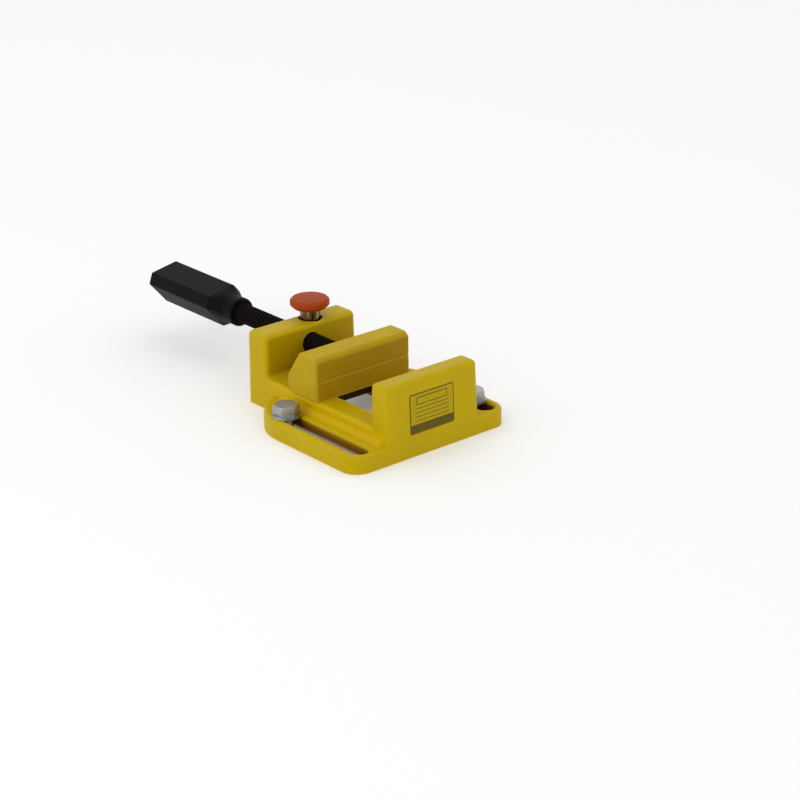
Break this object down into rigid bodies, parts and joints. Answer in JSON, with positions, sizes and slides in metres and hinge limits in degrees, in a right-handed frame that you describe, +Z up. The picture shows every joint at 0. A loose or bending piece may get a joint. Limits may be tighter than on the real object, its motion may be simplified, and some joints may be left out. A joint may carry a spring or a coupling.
{
  "type": "drill press vise",
  "caption": "Low screw vise on a slotted flange, with a fixed jaw, a sliding V-groove jaw, a screw spindle with a tapered grip and a push knob that frees the screw.",
  "frame": {"origin": "on the flat underside, midway between the two hold-down slots and at the middle of their length", "axes": "+X across the jaws, +Y along the spindle from the fixed jaw towards the grip, +Z up; the part is stored with its jaws 44.6 mm apart"},
  "size_m": [0.1102, 0.249, 0.0558],
  "materials": {
    "yellow_paint": "glossy yellow paint on a casting",
    "yellow_jaw_paint": "satin yellow paint on a casting",
    "black_plastic": "satin black moulded plastic",
    "blackened_steel": "blackened, lightly oiled steel",
    "zinc_steel": "zinc-plated steel",
    "bright_steel": "ground and polished steel",
    "spring_steel": "drawn spring steel",
    "orange_red_plastic": "satin orange-red plastic"
  },
  "bodies": {
    "base": {"base_casting": "yellow_paint", "spring_cover": "zinc_steel", "cover_screws": "zinc_steel", "release_spring": "spring_steel"},
    "jaw": {"moving_jaw": "yellow_jaw_paint", "guide_key": "blackened_steel", "retainer_plate": "blackened_steel", "retainer_screws": "blackened_steel", "thrust_washer": "bright_steel", "spindle_pins": "bright_steel"},
    "screw": {"spindle": "blackened_steel", "handle_ferrule": "black_plastic", "handle_grip": "black_plastic", "handle_pin": "blackened_steel"},
    "release": {"release_pin": "bright_steel", "release_knob": "orange_red_plastic"},
    "left_hold_down": {"hold_down_bolt_left": "zinc_steel", "washer_left": "zinc_steel"},
    "right_hold_down": {"hold_down_bolt_right": "zinc_steel", "washer_right": "zinc_steel"}
  },
  "joints": [
    {"name": "jaw_slide", "type": "slide", "parent": "base", "child": "jaw", "axis": [0, 1, 0], "range_m": [-0.0445, 0.0203]},
    {"name": "spindle_turn", "type": "hinge", "parent": "jaw", "child": "screw", "pos_m": [0, 0.1, 0.0322], "axis": [0, 1, 0], "range_deg": [-5341, 2437]},
    {"name": "release_press", "type": "slide", "parent": "base", "child": "release", "axis": [0, 0, -1], "range_m": [0, 0.0045], "stiffness_N_per_m": 900, "springref_m": -0.004, "deforming": ["release_spring"]},
    {"name": "left_bolt_slide", "type": "slide", "parent": "base", "child": "left_hold_down", "axis": [0, 1, 0], "range_m": [-0.0625, 0]},
    {"name": "right_bolt_slide", "type": "slide", "parent": "base", "child": "right_hold_down", "axis": [0, 1, 0], "range_m": [-0.0107, 0.0517]}
  ],
  "couplings": [
    {"joint": "spindle_turn", "follows": "jaw_slide", "rad_per_m": 2094.4}
  ]
}
